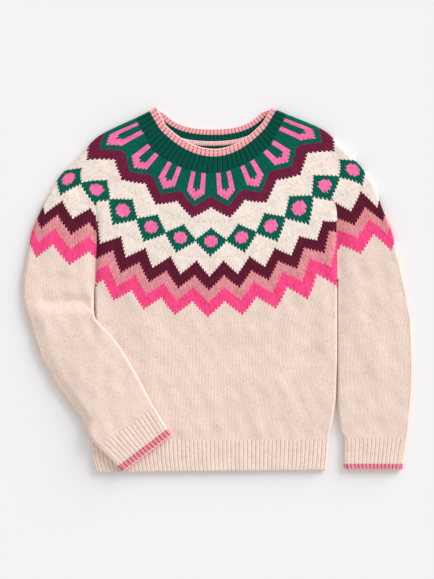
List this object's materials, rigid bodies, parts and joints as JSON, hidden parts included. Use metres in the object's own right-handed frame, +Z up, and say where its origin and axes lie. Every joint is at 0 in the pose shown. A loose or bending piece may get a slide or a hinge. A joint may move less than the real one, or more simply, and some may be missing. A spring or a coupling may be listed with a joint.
{
  "type": "fair isle jumper laid flat",
  "caption": "Child's knitted jumper with a patterned round yoke and ribbed neck, hem and cuffs, laid flat with one sleeve bent across the body.",
  "frame": {"origin": "on the surface under the middle of the laid jumper's box", "axes": "+X across the body towards the straight sleeve, +Y from hem to neck, +Z up from the surface that the back lies on"},
  "size_m": [0.468, 0.4382, 0.0153],
  "materials": {
    "oat_knit": "soft matt stocking stitch in heathered oat wool",
    "oat_rib": "soft matt rib in heathered oat wool",
    "yoke_knit": "soft matt stranded stocking stitch in cream, green, burgundy and pinks",
    "green_rib": "soft matt rib in green wool",
    "pink_tip": "soft matt rib in pink wool, darker in its grooves",
    "pale_edge": "soft matt knitted edge in pale pink"
  },
  "bodies": {
    "root": {"yoke": "yoke_knit", "neckband": "green_rib", "neck_tip": "pink_tip", "neck_facing": "pale_edge", "body_front": "oat_knit", "body_back": "oat_knit", "hem_rib_front": "oat_rib", "hem_rib_back": "oat_rib", "sleeve_bent": "oat_knit", "cuff_bent": "oat_rib", "cuff_tip_bent": "pink_tip", "sleeve_straight": "oat_knit", "cuff_straight": "oat_rib", "cuff_tip_straight": "pink_tip"}
  },
  "joints": []
}
